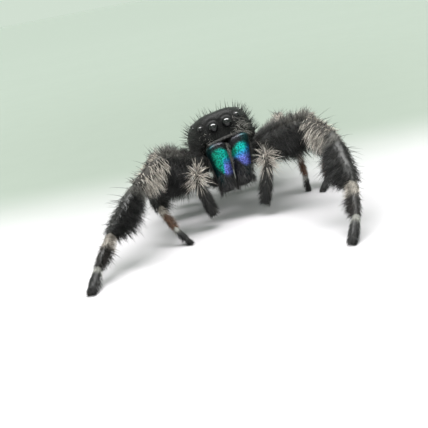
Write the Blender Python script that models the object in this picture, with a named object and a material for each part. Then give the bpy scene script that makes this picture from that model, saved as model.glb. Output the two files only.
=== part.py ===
"""An adult male jumping spider of the genus Phidippus, life size, standing on a floor.

Units are metres, +Z is up and the spider faces -Y, so its left side is at +X. The origin is on the floor,
in the middle of the box round the whole animal. Every solid reaches to the tips of the dense coat on it.
The head and body are modelled in a frame of their own, with Z = 0 at the carapace's lower margin, which is
then tilted as the spider holds itself. Each leg is a chain of segments from its hip to a flat on the floor.
"""

import math

import bmesh
import bpy
from mathutils import Matrix, Vector

MM = 0.001
GAP = 0.03 * MM  # clearance between pieces that meet
RING_SIDES = 10  # sides of a leg's section
BODY_SIDES = 20  # sides of a body's section

# How the animal holds its front body.
PROSOMA_HEIGHT = 3.92 * MM  # of its frame's origin above the floor
PROSOMA_PITCH = math.radians(14)  # face up
PROSOMA_ROLL = math.radians(11)  # left side up
PROSOMA_YAW = math.radians(3.2)  # towards its left

# Carapace, in the prosoma's frame.
CARAPACE_LENGTH = 5.4 * MM
CARAPACE_WIDTH = 4.8 * MM
CARAPACE_TOP = 2.86 * MM
CARAPACE_WAIST = 0.5 * MM  # height of the widest line round it
CLYPEUS_EDGE = 0.90 * MM  # lower edge of the face
FACE_SHARE = 0.57  # the face's width as a share of the carapace's
WIDEST_AT = 0.58  # share of the length behind the face
HEAD_SHARE = 0.42  # share of the length that is flat-topped head
CARAPACE_SQUARENESS = 3.2  # exponent of its superellipse section
CARAPACE_STATIONS = 13

# Eyes: name, distance from the middle, distance behind the face, height, radius.
FACE_Y = -CARAPACE_LENGTH / 2
EYES = (
    ("eye_front_middle", 0.49 * MM, -0.02 * MM, 1.80 * MM, 0.345 * MM),
    ("eye_front_side", 1.32 * MM, 0.30 * MM, 2.03 * MM, 0.205 * MM),
    ("eye_rear_middle", 1.72 * MM, 1.15 * MM, 2.28 * MM, 0.09 * MM),
    ("eye_rear_side", 1.64 * MM, 2.15 * MM, 2.43 * MM, 0.18 * MM),
)

# Sternum and mouthparts, under the carapace.
STERNUM_HALF_WIDTH = 1.0 * MM
STERNUM_FRONT = -1.27 * MM
STERNUM_BACK = 2.25 * MM
STERNUM_TOP = -0.06 * MM
STERNUM_BOTTOM = -1.05 * MM
MOUTH_HALF_WIDTH = 0.62 * MM
MOUTH_FRONT = -1.80 * MM
MOUTH_BOTTOM = -1.45 * MM

# Chelicerae: each hangs from under the clypeus.
CHELICERA_HALF_WIDTH = 0.81 * MM
CHELICERA_TOP = Vector((0.82 * MM, -2.45 * MM, 0.65 * MM))
CHELICERA_TIP = Vector((0.57 * MM, -2.75 * MM, -2.59 * MM))
CHELICERA_SLOPE = 0.4  # rise of its top towards the front
CHELICERA_LEAN = 0.16  # both swing to the right, for each unit down
CHELICERA_FRONT = 0.66 * MM
CHELICERA_BACK = 0.52 * MM

# Abdomen.
ABDOMEN_LENGTH = 6.6 * MM
ABDOMEN_WIDTH = 4.0 * MM
ABDOMEN_DEPTH = 3.5 * MM
ABDOMEN_PITCH = math.radians(10)  # its far end low
ABDOMEN_YAW = math.radians(-4)
PEDICEL_LENGTH = 0.35 * MM
PEDICEL_RADIUS = 0.36 * MM
SPINNERET_LENGTH = 0.6 * MM

# Leg segments: name, length in leg 1, half width, dorsal and ventral reach at mid-length, which hold the
# fringe of hair below the leg, then the joint's half width at the far end.
LEG_SEGMENTS = (
    ("femur", 4.15 * MM, 0.80 * MM, 1.00 * MM, 1.65 * MM, 0.50 * MM),
    ("patella", 2.40 * MM, 0.84 * MM, 0.94 * MM, 1.05 * MM, 0.50 * MM),
    ("tibia", 3.62 * MM, 0.82 * MM, 1.00 * MM, 1.35 * MM, 0.36 * MM),
    ("metatarsus", 2.36 * MM, 0.48 * MM, 0.54 * MM, 0.66 * MM, 0.28 * MM),
    ("tarsus", 1.84 * MM, 0.36 * MM, 0.36 * MM, 0.44 * MM, 0.24 * MM),
)
COXA_LENGTH = 1.2 * MM
COXA_HALF_WIDTH = 0.46 * MM
TROCHANTER_HALF_WIDTH = 0.42 * MM
JOINT_BENDS = (1.0, 0.6, 0.5)  # shares of the bend after the patella, tibia and metatarsus
STATIONS = (0.0, 0.18, 0.4, 0.62, 0.84, 1.0)  # of the sections along a segment
VENTRAL_SKEW = 1.35  # above 1, the underside is deepest in a segment's outer half
KNEE_UPRIGHT = 1.3  # how far the knee's section stays upright before the shin's lean takes over

# Legs 1 to 4: length against leg 1, thickness against leg 1, where the hip is along the sternum, and the
# heading of the coxa, in degrees forward of straight out.
LEG_SIZES = (
    (1.00, 1.00, -1.01 * MM, 42),
    (0.80, 0.72, -0.07 * MM, 16),
    (0.74, 0.66, 0.85 * MM, -14),
    (0.86, 0.68, 1.75 * MM, -42),
)
HIP_HEIGHT = -0.52 * MM
HIP_OUT = 1.06 * MM

# The stance, for each side and leg: femur's heading forward of straight out and its lift, in degrees, the
# foot's place beside and in front of the prosoma's origin, and how far the shin leans outwards, in degrees.
STANCE = {
    "left": (
        (32.3, 17.6, 5.64 * MM, 11.67 * MM, 66),
        (22, 24.4, 6.14 * MM, 1.57 * MM, 60),
        (-39, 13.2, 5.29 * MM, 0.77 * MM, -10),
        (-42.5, 8, 5.64 * MM, -11.63 * MM, -5),
    ),
    "right": (
        (44.1, 22.1, 9.46 * MM, 11.67 * MM, 85),
        (3, -12.3, 3.56 * MM, 6.82 * MM, 39),
        (0.5, 9.2, 6.76 * MM, -5.63 * MM, 14),
        (-37.2, 7.6, 4.96 * MM, -12.03 * MM, 28),
    ),
}

# Palps, in the prosoma's frame: the joints of each from its root to the tip of its brush.
PALP_JOINTS = {
    "left": (
        Vector((1.00 * MM, -1.40 * MM, -1.05 * MM)),
        Vector((1.66 * MM, -1.95 * MM, -1.41 * MM)),
        Vector((1.98 * MM, -3.29 * MM, -1.17 * MM)),
        Vector((1.82 * MM, -3.52 * MM, -1.95 * MM)),
        Vector((0.80 * MM, -3.20 * MM, -4.18 * MM)),
    ),
    "right": (
        Vector((-1.00 * MM, -1.40 * MM, -1.05 * MM)),
        Vector((-1.80 * MM, -2.02 * MM, -1.78 * MM)),
        Vector((-2.76 * MM, -4.14 * MM, -0.54 * MM)),
        Vector((-2.93 * MM, -4.21 * MM, -1.22 * MM)),
        Vector((-2.75 * MM, -3.55 * MM, -3.46 * MM)),
    ),
}
PALP_RADII = (0.20 * MM, 0.26 * MM, 0.38 * MM, 0.36 * MM, 0.22 * MM)
PALP_ARM_JOINTS = 4  # of them in the arm; the bulb has the rest
PALP_BULB_SWELL = 0.14 * MM

COLOURS = {
    "black_cuticle": ((0.018, 0.017, 0.018), 0.45, 0.0),
    "black_coat": ((0.030, 0.028, 0.029), 0.8, 0.0),
    "grey_coat": ((0.30, 0.28, 0.27), 0.85, 0.0),
    "abdomen_coat": ((0.035, 0.033, 0.035), 0.75, 0.0),
    "iridescent_green": ((0.02, 0.42, 0.34), 0.3, 0.7),
    "eye_lens": ((0.004, 0.004, 0.005), 0.05, 0.0),
}


def material(name):
    """The named material, made once."""
    found = bpy.data.materials.get(name)
    if found:
        return found
    colour, roughness, metallic = COLOURS[name]
    made = bpy.data.materials.new(name)
    made.use_nodes = True
    shader = made.node_tree.nodes["Principled BSDF"]
    shader.inputs["Base Color"].default_value = (*colour, 1)
    shader.inputs["Roughness"].default_value = roughness
    shader.inputs["Metallic"].default_value = metallic
    made.diffuse_color = (*colour, 1)
    return made


def finish_mesh(name, bm, material_name, group):
    """Puts the closed mesh into the collection as one object, smooth where it is round."""
    bmesh.ops.recalc_face_normals(bm, faces=bm.faces)
    mesh = bpy.data.meshes.new(name)
    bm.to_mesh(mesh)
    bm.free()
    mesh.shade_smooth()
    mesh.set_sharp_from_angle(angle=math.radians(50))
    mesh.materials.append(material(material_name))
    made = bpy.data.objects.new(name, mesh)
    group.objects.link(made)
    return made


def loft(name, rings, material_name, group):
    """A closed solid through rings of equal point counts, with a flat cap on each end."""
    bm = bmesh.new()
    loops = [[bm.verts.new(point) for point in ring] for ring in rings]
    for first, second in zip(loops, loops[1:]):
        for i, corner in enumerate(first):
            j = (i + 1) % len(first)
            bm.faces.new((corner, first[j], second[j], second[i]))
    bm.faces.new(loops[0])
    bm.faces.new(loops[-1])
    return finish_mesh(name, bm, material_name, group)


def oval(centre, side, up, half_width, rise, drop, sides=RING_SIDES, squareness=2.0):
    """A ring of points: half_width to each side, rise above the centre and drop below it."""
    ring = []
    for i in range(sides):
        angle = math.tau * (i + 0.5) / sides
        c, s = math.cos(angle), math.sin(angle)
        across = math.copysign(abs(c) ** (2 / squareness), c) * half_width
        above = math.copysign(abs(s) ** (2 / squareness), s) * (rise if s > 0 else drop)
        ring.append(centre + side * across + up * above)
    return ring


def prosoma_frame():
    """Carries the prosoma's frame to the world."""
    turn = Matrix.Rotation(PROSOMA_YAW, 4, "Z") @ Matrix.Rotation(-PROSOMA_PITCH, 4, "X")
    turn = turn @ Matrix.Rotation(-PROSOMA_ROLL, 4, "Y")
    return Matrix.Translation((0, 0, PROSOMA_HEIGHT)) @ turn


def eased(share, power):
    """From 0 to 1, slow at first."""
    return max(0.0, min(1.0, share)) ** power


def carapace_section(share):
    """Half width, top and bottom of the carapace at a share of its length behind the face."""
    ahead = eased((WIDEST_AT - share) / WIDEST_AT, 2.2)
    behind = eased((share - WIDEST_AT) / (1 - WIDEST_AT), 2.8)
    half_width = CARAPACE_WIDTH / 2 * (1 - (1 - FACE_SHARE) * ahead) * math.sqrt(1 - 0.82 * behind)
    brow = eased((HEAD_SHARE - share) / HEAD_SHARE, 3.0)
    slope = eased((share - HEAD_SHARE) / (1 - HEAD_SHARE), 1.7)
    top = CARAPACE_TOP - 0.22 * MM * brow - 1.55 * MM * slope
    bottom = CLYPEUS_EDGE * eased(1 - share / HEAD_SHARE, 1.2) + 0.25 * MM * behind
    return half_width, top, bottom


def carapace_rings():
    """Sections from the face to the rear end, closing in at both."""
    rings = []
    last = CARAPACE_STATIONS - 1
    for i in range(CARAPACE_STATIONS):
        share = (1 - math.cos(math.pi * i / last)) / 2
        half_width, top, bottom = carapace_section(share)
        closing = {0: 0.72, 1: 0.92, 2: 0.985, last: 0.55, last - 1: 0.88}.get(i, 1.0)
        waist = bottom + (top - bottom) * CARAPACE_WAIST / CARAPACE_TOP
        centre = Vector((0, FACE_Y + CARAPACE_LENGTH * share, waist))
        rise, drop = (top - waist) * closing, (waist - bottom) * closing
        size = (half_width * closing, rise, drop, BODY_SIDES, CARAPACE_SQUARENESS)
        rings.append(oval(centre, Vector((1, 0, 0)), Vector((0, 0, 1)), *size))
    return rings


def cut(target, cutter):
    """Takes the cutter's shape out of the target."""
    modifier = target.modifiers.new("cut_" + cutter.name, "BOOLEAN")
    modifier.operation = "DIFFERENCE"
    modifier.solver = "EXACT"
    modifier.object = cutter


def ball(name, centre, radius, material_name, group):
    bm = bmesh.new()
    detail = 3 if radius > 0.25 * MM else 2
    bmesh.ops.create_icosphere(bm, subdivisions=detail, radius=radius)
    made = finish_mesh(name, bm, material_name, group)
    made.location = centre
    return made


def build_carapace(group, cutters):
    """The carapace with its eight eyes set in sockets."""
    carapace = loft("carapace", carapace_rings(), "black_cuticle", group)
    pieces = [carapace]
    for name, out, back, height, radius in EYES:
        for side, sign in (("left", 1), ("right", -1)):
            centre = Vector((sign * out, FACE_Y + back, height))
            eye = ball(f"{name}_{side}", centre, radius, "eye_lens", group)
            socket = ball(f"socket_{name}_{side}", centre, radius + GAP, "eye_lens", cutters)
            socket.hide_render = True
            socket.display_type = "WIRE"
            cut(carapace, socket)
            pieces += [eye, socket]
    return pieces


def box_rings(half_width, front, back, top, bottom, taper):
    """Sections along Y of a rounded block whose ends are narrowed by taper."""
    rings = []
    for share in (0.0, 0.12, 0.5, 0.88, 1.0):
        size = 1 - taper * abs(2 * share - 1) ** 4
        middle = (top + bottom) / 2
        centre = Vector((0, front + (back - front) * share, middle))
        tall = (top - bottom) / 2
        section = (half_width * size, tall * size, tall * size, RING_SIDES, 3.0)
        rings.append(oval(centre, Vector((1, 0, 0)), Vector((0, 0, 1)), *section))
    return rings


def build_underside(group):
    """The sternum between the hips and the mouthparts in front of it."""
    sternum_rings = box_rings(
        STERNUM_HALF_WIDTH, STERNUM_FRONT, STERNUM_BACK, STERNUM_TOP, STERNUM_BOTTOM, 0.45
    )
    mouth_rings = box_rings(
        MOUTH_HALF_WIDTH, MOUTH_FRONT, STERNUM_FRONT - GAP, STERNUM_TOP, MOUTH_BOTTOM, 0.2
    )
    sternum = loft("sternum", sternum_rings, "black_cuticle", group)
    mouth = loft("mouthparts", mouth_rings, "black_cuticle", group)
    return [sternum, mouth]


def build_chelicera(side, sign, group):
    """One jaw base: a barrel, fullest in its upper half, drawn in to the fang's joint."""
    top = Vector((sign * CHELICERA_TOP.x, CHELICERA_TOP.y, CHELICERA_TOP.z))
    tip = Vector((sign * CHELICERA_TIP.x, CHELICERA_TIP.y, CHELICERA_TIP.z))
    inner_gap = GAP
    rings = []
    for share in (0.0, 0.08, 0.25, 0.45, 0.65, 0.83, 0.94, 1.0):
        fullness = math.sqrt(1 - (abs(share - 0.34) / 0.78) ** 2.6)
        fullness *= 0.82 if share == 0.0 else 1.0
        centre = top.lerp(tip, share)
        half_width = min(CHELICERA_HALF_WIDTH * fullness, abs(centre.x) - inner_gap)
        forward, backward = CHELICERA_FRONT * fullness, CHELICERA_BACK * fullness
        section = (half_width, forward, backward, RING_SIDES, 2.3)
        ahead = Vector((0, -1, CHELICERA_SLOPE * (1 - share) ** 2)).normalized()
        centre.x -= CHELICERA_LEAN * (top.z - centre.z)
        rings.append(oval(centre, Vector((1, 0, 0)), ahead, *section))
    return loft(f"chelicera_{side}", rings, "iridescent_green", group)


def abdomen_frame(prosoma):
    """Carries the abdomen's frame, with its origin at its front end, to the world."""
    half_width, top, bottom = carapace_section(1.0)
    rear = prosoma @ Vector((0, CARAPACE_LENGTH / 2, (top + bottom) / 2))
    back = (prosoma.to_3x3() @ Vector((0, 1, 0))).normalized()
    turn = Matrix.Rotation(ABDOMEN_YAW, 4, "Z") @ Matrix.Rotation(-ABDOMEN_PITCH, 4, "X")
    start = rear + (back + turn.to_3x3() @ Vector((0, 1, 0))) / 2 * PEDICEL_LENGTH
    return Matrix.Translation(start) @ turn


def abdomen_rings():
    """Sections from the pedicel back to the spinnerets: an egg, blunt in front."""
    rings = []
    count = 13
    for i in range(count):
        share = (1 - math.cos(math.pi * i / (count - 1))) / 2
        swell = math.sin(math.pi * min(0.97, max(0.035, share)) ** 0.82) ** 0.62
        width, tall = ABDOMEN_WIDTH / 2 * swell, ABDOMEN_DEPTH / 2 * swell
        lift = 0.35 * MM * math.sin(math.pi * share)
        centre = Vector((0, ABDOMEN_LENGTH * share, lift))
        section = (width, tall, tall * 0.9, BODY_SIDES, 2.15)
        rings.append(oval(centre, Vector((1, 0, 0)), Vector((0, 0, 1)), *section))
    return rings


def build_abdomen(prosoma, group):
    """The abdomen, the pedicel that carries it and its spinnerets."""
    frame = abdomen_frame(prosoma)
    abdomen = loft("abdomen", abdomen_rings(), "abdomen_coat", group)
    abdomen.matrix_world = frame

    half_width, top, bottom = carapace_section(1.0)
    rear = Vector((0, CARAPACE_LENGTH / 2 + GAP, (top + bottom) / 2))
    x, z = Vector((1, 0, 0)), Vector((0, 0, 1))
    round_section = (PEDICEL_RADIUS, PEDICEL_RADIUS, PEDICEL_RADIUS)
    near = [prosoma @ p for p in oval(rear, x, z, *round_section)]
    far = [frame @ p for p in oval(Vector((0, -GAP, 0)), x, z, *round_section)]
    pedicel = loft("pedicel", [near, far], "black_cuticle", group)

    rings = []
    for share, radius in ((0.0, 0.27), (0.45, 0.25), (0.85, 0.17), (1.0, 0.09)):
        centre = Vector((0, ABDOMEN_LENGTH + GAP + SPINNERET_LENGTH * share, 0))
        rings.append(oval(centre, x, z, radius * 1.4 * MM, radius * MM, radius * MM))
    spinnerets = loft("spinnerets", rings, "black_coat", group)
    spinnerets.matrix_world = frame
    return [abdomen, pedicel, spinnerets]


def chain_angles(lengths, chord):
    """Headings of a chain's links from its chord, bent evenly by JOINT_BENDS, so that it spans the chord."""

    def headings(bend):
        turned, found = 0.0, [0.0]
        for share in JOINT_BENDS:
            turned -= bend * share
            found.append(turned)
        return found

    def span(bend):
        x = sum(n * math.cos(a) for n, a in zip(lengths, headings(bend)))
        y = sum(n * math.sin(a) for n, a in zip(lengths, headings(bend)))
        return math.hypot(x, y), math.atan2(y, x)

    low, high = 0.0, math.radians(110)
    for _ in range(60):
        middle = (low + high) / 2
        if span(middle)[0] > chord:
            low = middle
        else:
            high = middle
    tilt = span(low)[1]
    return [a - tilt for a in headings(low)]


def leg_joints(prosoma, side, number):
    """World places of a leg's joints from the hip to the tip, and the way its shin bulges."""
    sign = 1 if side == "left" else -1
    length, _, hip_y, coxa_heading = LEG_SIZES[number]
    heading, lift, out, ahead, lean = STANCE[side][number]
    coxa_angle = math.radians(coxa_heading)
    hip = Vector((sign * HIP_OUT, hip_y, HIP_HEIGHT))
    along = Vector((sign * math.cos(coxa_angle), -math.sin(coxa_angle), 0.12)).normalized()
    trochanter = prosoma @ (hip + along * COXA_LENGTH * (0.9 if number else 1.0))
    hip = prosoma @ hip

    a, b = math.radians(heading), math.radians(lift)
    femur_way = Vector((sign * math.cos(a) * math.cos(b), -math.sin(a) * math.cos(b), math.sin(b)))
    knee = trochanter + femur_way * LEG_SEGMENTS[0][1] * length
    foot = Vector((sign * out, -ahead, 0))
    chord = foot - knee
    lengths = [segment[1] * length for segment in LEG_SEGMENTS[1:]]
    if chord.length > sum(lengths) * 0.995:
        raise ValueError(f"{side} leg {number + 1} can't reach its foot")
    along = chord.normalized()
    bulge = (Vector((0, 0, 1)) - along * along.z).normalized()
    bulge = Matrix.Rotation(-sign * math.radians(lean), 3, along) @ bulge
    joints, at = [hip, trochanter, knee], knee
    for link, angle in zip(lengths, chain_angles(lengths, chord.length)):
        at = at + (along * math.cos(angle) + bulge * math.sin(angle)) * link
        joints.append(at)
    joints[-1] = foot
    return joints, bulge


def leg_frames(joints, bulge):
    """At each joint: the unit normal of the plane where segments meet, with the side and dorsal directions in it."""
    ways = [(b - a).normalized() for a, b in zip(joints, joints[1:])]
    frames = []
    for i, joint in enumerate(joints):
        if i == 0:
            normal = ways[0]
        elif i == len(joints) - 1:
            normal = Vector((0, 0, -1))
        else:
            normal = (ways[i - 1] + ways[i]).normalized()
        hint = Vector((0, 0, 1)) if i < 2 else bulge
        if i == 2:
            hint = Vector((0, 0, 1)) * KNEE_UPRIGHT + bulge
        elif i == len(joints) - 1:
            hint = ways[-1] + bulge
        dorsal = (hint - normal * hint.dot(normal)).normalized()
        side = normal.cross(dorsal).normalized()
        frames.append((normal, side, dorsal))
    return frames


def segment_rings(joints, frames, i, start_width, segment, thickness):
    """Sections of one segment between joints i and i + 1, each joint plane half a gap away."""
    _, _, half_width, dorsal, ventral, end_width = segment
    last = i + 1 == len(joints) - 1
    rings = []
    for share in STATIONS:
        (n0, s0, d0), (n1, s1, d1) = frames[i], frames[i + 1]
        joint_width = start_width + (end_width - start_width) * share
        sizes = []
        for full, skew in ((half_width, 1.0), (dorsal, 1.0), (ventral, VENTRAL_SKEW)):
            swell = max(0.0, math.sin(math.pi * share**skew)) ** 0.6
            sizes.append((joint_width + (full - joint_width) * swell) * thickness)
        centre = joints[i].lerp(joints[i + 1], share)
        inset = GAP / 2 if share == 0 else (-GAP / 2 if share == 1 and not last else 0)
        normal = n0.lerp(n1, share).normalized()
        side = s0.lerp(s1, share)
        side = (side - normal * side.dot(normal)).normalized()
        up = side.cross(normal)
        rings.append(oval(centre + normal * inset, side, up, *sizes))
    return rings


def build_leg(prosoma, side, number, group):
    """A leg's five nodes: coxa to femur, patella, tibia, metatarsus and tarsus."""
    thickness = LEG_SIZES[number][1]
    joints, bulge = leg_joints(prosoma, side, number)
    frames = leg_frames(joints, bulge)
    coxa = ("coxa", COXA_LENGTH, COXA_HALF_WIDTH, COXA_HALF_WIDTH, COXA_HALF_WIDTH, TROCHANTER_HALF_WIDTH)
    coxa_rings = segment_rings(joints, frames, 0, COXA_HALF_WIDTH, coxa, max(thickness, 0.8))
    width = TROCHANTER_HALF_WIDTH
    for i, segment in enumerate(LEG_SEGMENTS):
        name = f"leg_{side}_{number + 1}_{segment[0]}"
        rings = segment_rings(joints, frames, i + 1, width, segment, thickness)
        if i == 0:
            rings = coxa_rings[:-1] + rings[1:]
        coat = "grey_coat" if segment[0] == "patella" else "black_coat"
        loft(name, rings, coat, group)
        width = segment[5]


def build_palp(prosoma, side, sign, group):
    """A palp: the arm that bends round the jaw and the bulb that hangs from it."""
    joints = [prosoma @ joint for joint in PALP_JOINTS[side]]
    ways = [(b - a).normalized() for a, b in zip(joints, joints[1:])]
    normals = [ways[0], *[(a + b).normalized() for a, b in zip(ways, ways[1:])], ways[-1]]
    out = prosoma.to_3x3() @ Vector((sign, 0, 0))

    def ring(i, radius, shift=0.0, towards=None, share=0.0):
        normal = normals[i] if towards is None else normals[i].lerp(normals[towards], share).normalized()
        centre = joints[i] if towards is None else joints[i].lerp(joints[towards], share)
        side_way = (out - normal * out.dot(normal)).normalized()
        return oval(centre + normal * shift, side_way, side_way.cross(normal), radius, radius, radius)

    arm = [ring(0, PALP_RADII[0])]
    for i in range(1, PALP_ARM_JOINTS):
        between = (PALP_RADII[i - 1] + PALP_RADII[i]) / 2
        arm.append(ring(i - 1, between, towards=i, share=0.5))
        arm.append(ring(i, PALP_RADII[i], -GAP / 2 if i == PALP_ARM_JOINTS - 1 else 0.0))
    loft(f"palp_{side}_arm", arm, "grey_coat", group)

    root, tip = PALP_ARM_JOINTS - 1, PALP_ARM_JOINTS
    bulb = [ring(root, PALP_RADII[root], GAP / 2)]
    for share in (0.2, 0.45, 0.7, 0.9):
        radius = PALP_RADII[root] + (PALP_RADII[tip] - PALP_RADII[root]) * share**2
        radius += PALP_BULB_SWELL * math.sin(math.pi * share)
        bulb.append(ring(root, radius, towards=tip, share=share))
    bulb.append(ring(tip, PALP_RADII[tip]))
    loft(f"palp_{side}_bulb", bulb, "black_coat", group)


def stand_on_origin(group):
    """Moves everything so that the box round the animal is centred on the origin, level with the floor."""
    bpy.context.view_layer.update()
    points = [o.matrix_world @ v.co for o in group.objects for v in o.data.vertices]
    low = [min(p[i] for p in points) for i in range(2)]
    high = [max(p[i] for p in points) for i in range(2)]
    shift = Vector((-(low[0] + high[0]) / 2, -(low[1] + high[1]) / 2, 0))
    for made in bpy.data.objects:
        made.matrix_world = Matrix.Translation(shift) @ made.matrix_world


def main():
    for old in list(bpy.data.objects):
        bpy.data.objects.remove(old, do_unlink=True)
    spider = bpy.data.collections.new("jumping_spider")
    cutters = bpy.data.collections.new("cutters")
    bpy.context.scene.collection.children.link(spider)
    bpy.context.scene.collection.children.link(cutters)

    prosoma = prosoma_frame()
    tilted = build_carapace(spider, cutters) + build_underside(spider)
    for side, sign in (("left", 1), ("right", -1)):
        tilted.append(build_chelicera(side, sign, spider))
    for made in tilted:
        made.matrix_world = prosoma @ Matrix.Translation(made.location)
    build_abdomen(prosoma, spider)
    for side, sign in (("left", 1), ("right", -1)):
        build_palp(prosoma, side, sign, spider)
        for number in range(len(LEG_SIZES)):
            build_leg(prosoma, side, number, spider)
    stand_on_origin(spider)


main()
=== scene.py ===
"""Looks of the still, life-size jumping spider: its skin, plates, eyes and coat, on a plain pale floor.

Shapes are worked out in millimetres along the frame's axes (+Z up, the spider faces -Y, its left is +X), and
become metres when a mesh is made. Arrays hold one row for each point or hair. Every limb is a row of straight
segments, and a place on one is a share of its length and an angle round it, 0 on its back.
"""

import math

import bmesh
import bpy
import numpy as np
from mathutils import Matrix, Vector


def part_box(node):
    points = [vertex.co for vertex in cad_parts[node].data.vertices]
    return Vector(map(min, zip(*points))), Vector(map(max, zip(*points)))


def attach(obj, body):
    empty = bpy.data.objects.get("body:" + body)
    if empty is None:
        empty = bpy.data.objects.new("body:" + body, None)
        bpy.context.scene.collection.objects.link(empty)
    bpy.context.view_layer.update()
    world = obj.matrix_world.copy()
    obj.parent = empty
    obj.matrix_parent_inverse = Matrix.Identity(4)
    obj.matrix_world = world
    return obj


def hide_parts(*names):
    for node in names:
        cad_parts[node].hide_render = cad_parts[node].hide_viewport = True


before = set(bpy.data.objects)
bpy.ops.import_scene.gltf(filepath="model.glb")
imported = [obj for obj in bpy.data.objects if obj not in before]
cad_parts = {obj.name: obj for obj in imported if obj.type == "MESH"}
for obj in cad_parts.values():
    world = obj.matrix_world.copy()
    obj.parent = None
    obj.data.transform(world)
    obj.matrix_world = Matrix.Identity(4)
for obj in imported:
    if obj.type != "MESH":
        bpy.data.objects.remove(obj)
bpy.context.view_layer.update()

MM = 0.001
SIDES = (("left", 1), ("right", -1))
UP = np.array((0, 0, 1.0))
RNG = np.random.default_rng(31)

# Head, in its own frame: Y = 0 at the carapace's middle, Z = 0 at its lower margin.
CARAPACE_LENGTH = 5.4
CARAPACE_WIDTH = 4.8
CARAPACE_TOP = 2.86
CARAPACE_WAIST = 0.5
CARAPACE_POWER = 3.2  # of the superellipse that its sections are
CLYPEUS_EDGE = 0.90
FACE_Y = -CARAPACE_LENGTH / 2
CARAPACE_INSET = 0.03 / 2.3  # the share by which the shell is smaller than the solid, for its short hair
# Eyes: how far out from the middle, back from the face and up they stand, and their radius.
EYES = (
    ("eye_front_middle", 0.49, -0.02, 1.80, 0.345),
    ("eye_front_side", 1.32, 0.30, 2.03, 0.205),
    ("eye_rear_middle", 1.72, 1.15, 2.28, 0.09),
    ("eye_rear_side", 1.64, 2.15, 2.43, 0.18),
)
JAW_TOP = np.array((0.82, -2.45, 0.65))
JAW_TIP = np.array((0.57, -2.75, -2.59))
JAW_HALF_WIDTH, JAW_FRONT, JAW_BACK = 0.81, 0.66, 0.52
JAW_SLOPE, JAW_LEAN = 0.4, 0.16
JAW_POWER = 2.3  # of the superellipse that its sections are
JAW_CLEARANCE = 0.03  # of each jaw from the plane between them
PALP_HIP = (1.00, -1.40, -1.05)  # of the left one
PALP_JOINTS = {
    "left": ((1.66, -1.95, -1.41), (1.98, -3.29, -1.17), (1.82, -3.52, -1.95), (0.80, -3.20, -4.18)),
    "right": ((-1.80, -2.02, -1.78), (-2.76, -4.14, -0.54), (-2.93, -4.21, -1.22), (-2.75, -3.55, -3.46)),
}
PALP_KINDS = ("palp_arm", "palp_arm", "palp_knee", "palp_bulb")
PALP_RADII = (0.18, 0.22, 0.27, 0.28, 0.18)  # at its joints
PALP_SWELLS = (1.08, 1.08, 1.08, 1.25)  # radius of each segment's middle against the mean of its ends

# Abdomen, in its own frame: from its front end back along Y.
ABDOMEN_LENGTH = 6.6
ABDOMEN_HALF_WIDTH = 2.0
ABDOMEN_HALF_DEPTH = 1.75
ABDOMEN_LIFT = 0.35
ABDOMEN_COAT = 0.14  # depth of its hair
ABDOMEN_REACH = 2.1  # within this the skin has the abdomen's colours,
LIMB_REACH = 1.4  # except nearer to a limb's axis than so many of its radii

# Bare limbs of leg 1: half width, reach to the back and to the underside at mid-length, and half width of
# the joint at the far end.
SEGMENTS = ("femur", "patella", "tibia", "metatarsus", "tarsus")
BARE = {
    "coxa": (0.36, 0.36, 0.36, 0.38),
    "femur": (0.52, 0.60, 0.78, 0.38),
    "patella": (0.46, 0.48, 0.52, 0.37),
    "tibia": (0.43, 0.46, 0.62, 0.27),
    "metatarsus": (0.26, 0.26, 0.28, 0.20),
    "tarsus": (0.25, 0.24, 0.26, 0.15),
}
THICKNESS = (1.0, 0.72, 0.66, 0.68)  # of legs 1 to 4
PATELLA_LENGTH = 2.40  # of leg 1, by which the others are scaled
FEMUR_LENGTH = 4.15
JOINT_GAP = 0.05  # neighbouring solids of a leg come closer than this only at their joint
FLOOR_GAP = 0.02  # and the points of a foot's sole are lower than this
FOOT_HEIGHT = 0.16  # of the middle of leg 1's foot
COXA_LEAST = 0.8  # the thinner legs' coxae are at least this thick against leg 1's
END_POINTS = 10  # how many of a solid's points are taken as its end

# The skin's mesh: its grain, how often it is smoothed, how far inside the small solids it lies, and the rings
# and sides of the abdomen and of the eyes.
SKIN_VOXEL = 0.07
SKIN_SMOOTHING = 6
BODY_INSETS = {"sternum": 0.04, "mouthparts": 0.04, "pedicel": -0.04, "spinnerets": 0.05}
BODY_RINGS, BODY_SIDES = 48, 64
EYE_RINGS, EYE_SIDES = 28, 48

# Linear colours.
BLACK = np.array((0.0095, 0.0090, 0.0095))
SOOT = np.array((0.028, 0.026, 0.026))
GREY = np.array((0.17, 0.16, 0.15))
PALE = np.array((0.66, 0.59, 0.54))
WHITE = np.array((0.74, 0.72, 0.68))
BLUSH = np.array((0.54, 0.43, 0.37))
RUST = np.array((0.20, 0.095, 0.055))
EYE_BLACK = (0.004, 0.0042, 0.005)
CLAW_BROWN = (0.03, 0.02, 0.015)
JAW_CYAN = np.array((0.004, 0.42, 0.40))
JAW_GREEN = np.array((0.002, 0.19, 0.13))
JAW_BLUE = np.array((0.03, 0.21, 0.50))
JAW_VIOLET = np.array((0.12, 0.14, 0.52))
JAW_TEAL = np.array((0.004, 0.035, 0.040))
JAW_DARK = np.array((0.012, 0.012, 0.015))

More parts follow.
